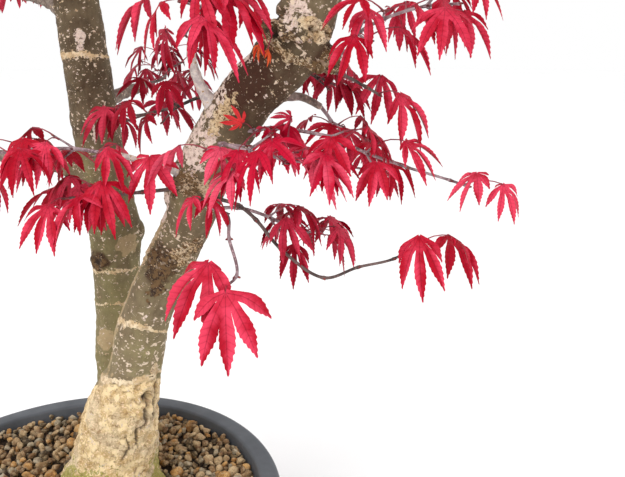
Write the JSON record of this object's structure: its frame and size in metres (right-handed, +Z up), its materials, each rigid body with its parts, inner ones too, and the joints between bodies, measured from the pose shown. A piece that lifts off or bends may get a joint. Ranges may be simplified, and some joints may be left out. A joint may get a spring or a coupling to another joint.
{
  "type": "japanese maple bonsai in a pot",
  "caption": "Red-leaved Japanese maple bonsai: a sweeping trunk beside an upright one, open boughs with hanging palmate leaves, in a round dark plastic training pot.",
  "frame": {"origin": "centre of the pot's flat underside, on the level that it stands on", "axes": "+Z up along the pot's axis, +X to the right, towards which the near trunk sweeps, +Y to the back, where the upright trunk stands"},
  "size_m": [0.5292, 0.4391, 0.6929],
  "materials": {
    "pot": "dark slate-grey moulded plastic, slightly scuffed",
    "gravel": "loose tan and brown pumice and clay grit with a little moss",
    "bark": "smooth olive-grey bark with cream flecks and rings",
    "foliage": "thin bright red leaves on grey-brown twigs"
  },
  "bodies": {
    "root": {"bough_back_high": "bark", "bough_back_left": "bark", "bough_back_low": "bark", "bough_back_right": "bark", "bough_crown_right": "bark", "bough_fork": "bark", "bough_front": "bark", "bough_hook": "bark", "bough_inner_front": "bark", "bough_left_back_low": "bark", "bough_left_front": "bark", "bough_left_high": "bark", "bough_left_low": "bark", "bough_right_back": "bark", "bough_right_front": "bark", "bough_right_high": "bark", "bough_right_top": "bark", "pot": "pot", "soil": "gravel", "spray_arch": "foliage", "spray_back_twig": "foliage", "spray_behind": "foliage", "spray_burr_out": "foliage", "spray_burr_up": "foliage", "spray_elbow": "foliage", "spray_fork": "foliage", "spray_front": "foliage", "spray_hanging": "foliage", "spray_hook": "foliage", "spray_inner": "foliage", "spray_left_front": "foliage", "spray_left_low": "foliage", "spray_on_back": "foliage", "spray_on_back_high": "foliage", "spray_on_back_left": "foliage", "spray_on_back_low": "foliage", "spray_on_back_right": "foliage", "spray_on_crown_right": "foliage", "spray_on_front": "foliage", "spray_on_inner_front": "foliage", "spray_on_left_back_low": "foliage", "spray_on_left_front": "foliage", "spray_on_left_high": "foliage", "spray_on_main": "foliage", "spray_on_right_back": "foliage", "spray_on_right_front": "foliage", "spray_on_right_high": "foliage", "spray_on_right_top": "foliage", "spray_reach": "foliage", "trunk_back": "bark", "trunk_main": "bark"}
  },
  "joints": []
}
